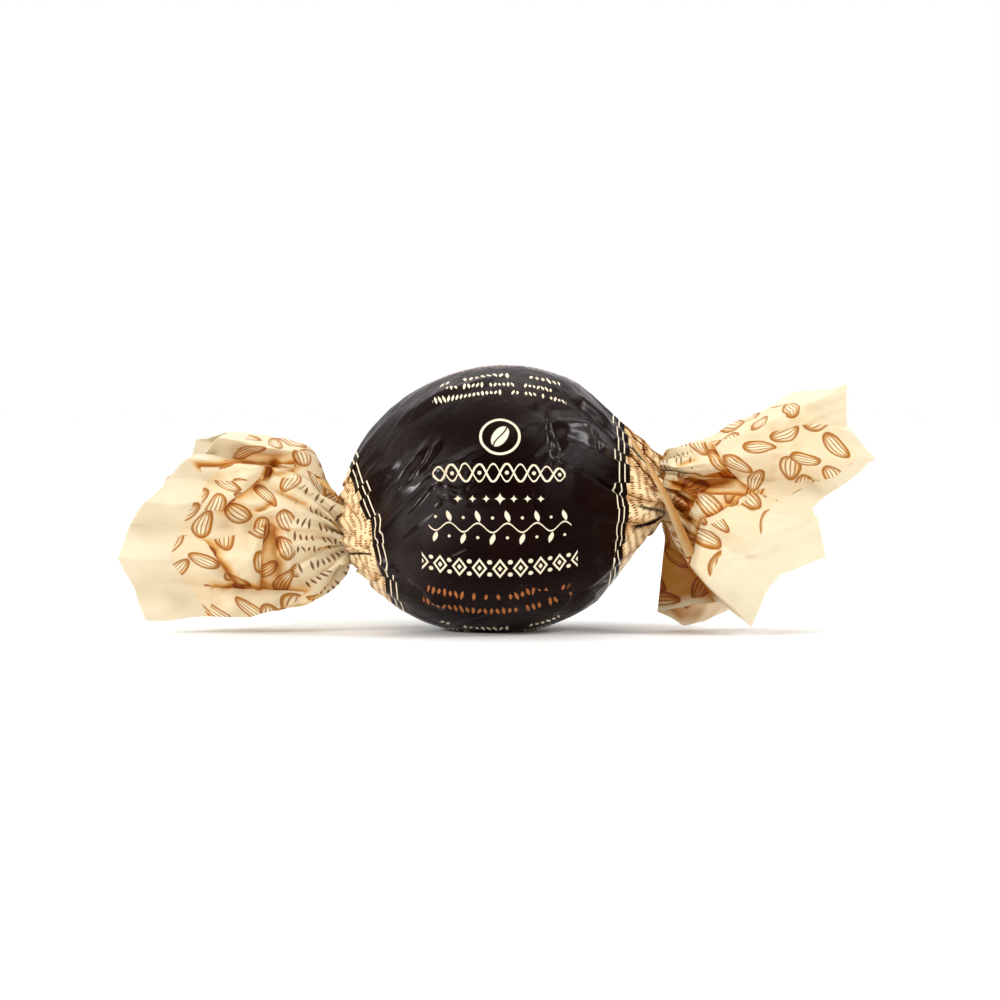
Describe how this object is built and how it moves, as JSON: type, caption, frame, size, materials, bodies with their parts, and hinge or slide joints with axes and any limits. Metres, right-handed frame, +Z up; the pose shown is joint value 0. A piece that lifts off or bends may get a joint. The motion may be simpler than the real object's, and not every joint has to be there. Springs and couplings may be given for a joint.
{
  "type": "twist-wrapped chocolate truffle",
  "caption": "Round chocolate truffle closed in printed twist-wrap film, with a pleated neck and a fanned film tail at each end, lying on a table.",
  "frame": {"origin": "middle of the small flat spot under the ball, on the table", "axes": "+X along the twist axis from the closed-up tail to the spread tail, -Y towards the printed front, +Z up"},
  "size_m": [0.1031, 0.0371, 0.0366],
  "materials": {
    "dark_film": "glossy near-black brown printed film with cream borders, wrinkled",
    "cream_film": "satin cream printed film with brown line drawings of cocoa beans, creased"
  },
  "bodies": {
    "root": {"wrapped_truffle": "dark_film"}
  },
  "joints": []
}
